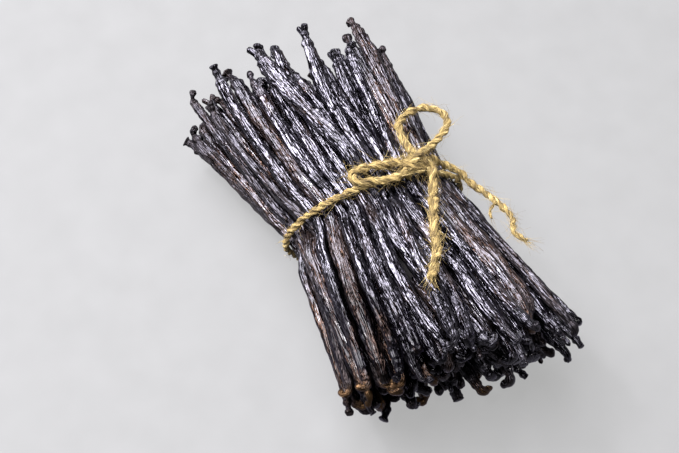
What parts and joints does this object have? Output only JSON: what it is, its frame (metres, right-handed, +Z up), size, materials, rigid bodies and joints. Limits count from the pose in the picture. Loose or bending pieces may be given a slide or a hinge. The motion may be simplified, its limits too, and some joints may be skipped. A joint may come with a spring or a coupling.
{
  "type": "vanilla pod bundle",
  "caption": "Bundle of long dark cured vanilla pods, flared at both ends and tied round the waist with jute twine in a bow.",
  "frame": {"origin": "middle of the pods' footprint, on the ground", "axes": "+X along the pods towards the wider flared end, +Y across the bundle, +Z up through the bow's side"},
  "size_m": [0.2083, 0.1131, 0.084],
  "materials": {
    "pod_skin": "wrinkled lengthwise, oily and streaky",
    "jute": "plied, matt and fibrous"
  },
  "bodies": {
    "root": {"pods": "pod_skin", "twine_tie": "jute", "twine_knot": "jute", "bow_loop_flat": "jute", "bow_loop_open": "jute", "tail_front": "jute", "tail_side": "jute"}
  },
  "joints": []
}
